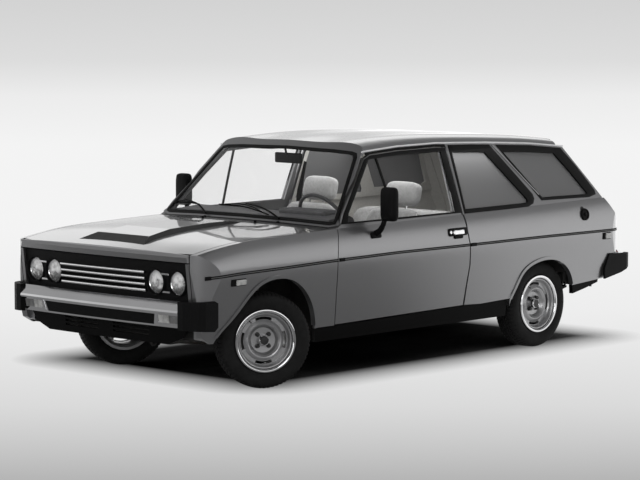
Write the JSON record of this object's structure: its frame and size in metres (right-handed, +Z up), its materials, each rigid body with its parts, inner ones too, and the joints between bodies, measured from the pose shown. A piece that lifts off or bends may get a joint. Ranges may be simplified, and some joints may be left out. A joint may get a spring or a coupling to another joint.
{
  "type": "station wagon",
  "caption": "Two-door estate car with hinged doors, bonnet and tailgate, steered front wheels and free-rolling wheels on a live rear axle.",
  "frame": {"origin": "on the ground under the middle of the car, midway between the bumper faces, on the centre line", "axes": "+X towards the front of the car, +Y to its left, +Z up"},
  "size_m": [4.264, 1.924, 1.4355],
  "materials": {
    "paint": "mid-grey metallic paint, lightly polished",
    "black_paint": "satin black paint",
    "underbody": "matt black underbody coating",
    "black_plastic": "grained matt black plastic",
    "bright": "bright chromed steel",
    "glass": "clear lightly tinted safety glass",
    "lamp_glass": "fluted lamp glass over a bright reflector",
    "tail_lens": "ribbed red and amber lens",
    "tyre": "dusty black rubber",
    "wheel_silver": "silver-painted pressed steel",
    "cast": "dull cast metal",
    "steel": "dull bare steel",
    "cloth": "light woven seat cloth",
    "trim": "dark moulded cabin trim"
  },
  "bodies": {
    "body": {"wing_left": "paint", "quarter_left": "paint", "wing_right": "paint", "quarter_right": "paint", "nose_panel": "paint", "grille": "black_plastic", "front_lamps": "lamp_glass", "front_bumper": "bright", "bumper_ends": "black_plastic", "rear_bumper": "bright", "screen_frame": "paint", "windscreen": "glass", "tail_lamps": "tail_lens", "quarter_glass": "glass", "roof": "paint", "rear_panel": "paint", "lower_trim": "black_paint", "floor_pan": "underbody", "front_structure": "underbody", "powertrain": "cast", "exhaust": "steel", "fuel_tank": "underbody", "front_suspension": "underbody", "rear_axle": "underbody", "dashboard": "trim", "front_seats": "cloth", "rear_seat": "cloth"},
    "door_left": {"door_left": "paint", "door_glass_left": "glass", "door_trim_left": "black_plastic"},
    "door_right": {"door_right": "paint", "door_glass_right": "glass", "door_trim_right": "black_plastic"},
    "bonnet": {"bonnet": "paint"},
    "tailgate": {"tailgate": "paint", "tailgate_glass": "glass"},
    "knuckle_left": {"knuckle_left": "cast"},
    "knuckle_right": {"knuckle_right": "cast"},
    "wheel_front_left": {"tyre_front_left": "tyre", "rim_front_left": "wheel_silver"},
    "wheel_front_right": {"tyre_front_right": "tyre", "rim_front_right": "wheel_silver"},
    "wheel_rear_left": {"tyre_rear_left": "tyre", "rim_rear_left": "wheel_silver"},
    "wheel_rear_right": {"tyre_rear_right": "tyre", "rim_rear_right": "wheel_silver"},
    "steering_wheel": {"steering_wheel": "trim"}
  },
  "joints": [
    {"name": "steer_left", "type": "hinge", "parent": "body", "child": "knuckle_left", "pos_m": [1.347, 0.566, 0.288], "axis": [0, 0, 1], "range_deg": [-5, 61]},
    {"name": "spin_front_left", "type": "hinge", "parent": "knuckle_left", "child": "wheel_front_left", "pos_m": [1.40334, 0.67195, 0.288], "axis": [0.4695, 0.8829, 0], "continuous": true},
    {"name": "spin_rear_left", "type": "hinge", "parent": "body", "child": "wheel_rear_left", "pos_m": [-1.143, 0.657, 0.288], "axis": [0, 1, 0], "continuous": true},
    {"name": "door_hinge_left", "type": "hinge", "parent": "body", "child": "door_left", "pos_m": [0.895, 0.823, 0.6], "axis": [0, 0, -1], "range_deg": [0, 65]},
    {"name": "steer_right", "type": "hinge", "parent": "body", "child": "knuckle_right", "pos_m": [1.347, -0.566, 0.288], "axis": [0, 0, 1], "range_deg": [-5, 61]},
    {"name": "spin_front_right", "type": "hinge", "parent": "knuckle_right", "child": "wheel_front_right", "pos_m": [1.29066, -0.67195, 0.288], "axis": [0.4695, 0.8829, 0], "continuous": true},
    {"name": "spin_rear_right", "type": "hinge", "parent": "body", "child": "wheel_rear_right", "pos_m": [-1.143, -0.657, 0.288], "axis": [0, 1, 0], "continuous": true},
    {"name": "door_hinge_right", "type": "hinge", "parent": "body", "child": "door_right", "pos_m": [0.895, -0.823, 0.6], "axis": [0, 0, 1], "range_deg": [0, 65]},
    {"name": "bonnet_hinge", "type": "hinge", "parent": "body", "child": "bonnet", "pos_m": [2.05, 0, 0.736], "axis": [0, 1, 0], "range_deg": [0, 60]},
    {"name": "tailgate_hinge", "type": "hinge", "parent": "body", "child": "tailgate", "pos_m": [-1.442, 0, 1.372], "axis": [0, 1, 0], "range_deg": [0, 75]},
    {"name": "steering_wheel_turn", "type": "hinge", "parent": "body", "child": "steering_wheel", "pos_m": [0.495, 0.32, 0.925], "axis": [-0.866, 0, 0.5], "range_deg": [-80, 870]}
  ],
  "couplings": [
    {"joint": "steer_right", "follows": "steer_left", "ratio": 1},
    {"joint": "steering_wheel_turn", "follows": "steer_left", "ratio": 14}
  ]
}
